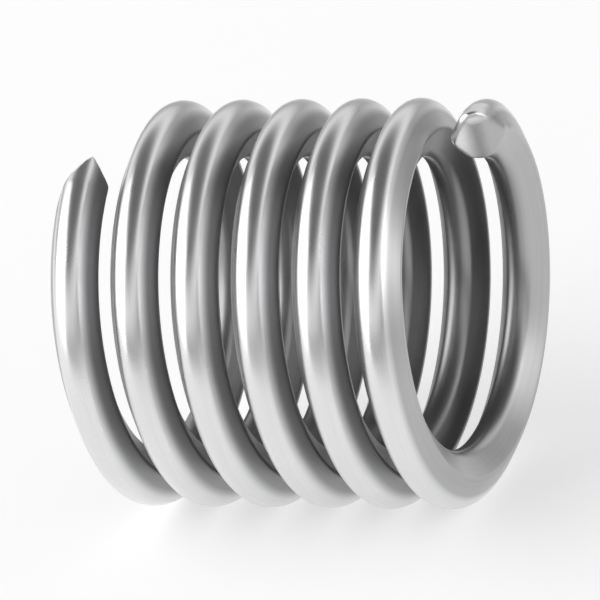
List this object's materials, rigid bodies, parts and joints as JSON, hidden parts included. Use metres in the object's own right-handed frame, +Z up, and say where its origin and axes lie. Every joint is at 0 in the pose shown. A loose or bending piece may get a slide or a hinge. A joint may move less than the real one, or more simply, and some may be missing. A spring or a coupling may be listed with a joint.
{
  "type": "helical thread insert",
  "caption": "Helical coil thread insert of rounded rhombic stainless wire, with a driving tang curled in at one end and a snipped chisel tip at the other.",
  "frame": {"origin": "on the coil's axis, level with the middle of the wire where its centre line would pass the top of the first turn", "axes": "+X along the coil's axis, out of the end with the tang; +Z up, with the coil lying on its side as it comes to rest, its centre of mass straight below the axis; +Y towards the side where the tang leaves the coil, 39 degrees round from the top"},
  "size_m": [0.0084, 0.0082, 0.0082],
  "materials": {
    "stainless_wire": "bright cold-drawn stainless steel wire"
  },
  "bodies": {
    "root": {"thread_insert": "stainless_wire"}
  },
  "joints": []
}
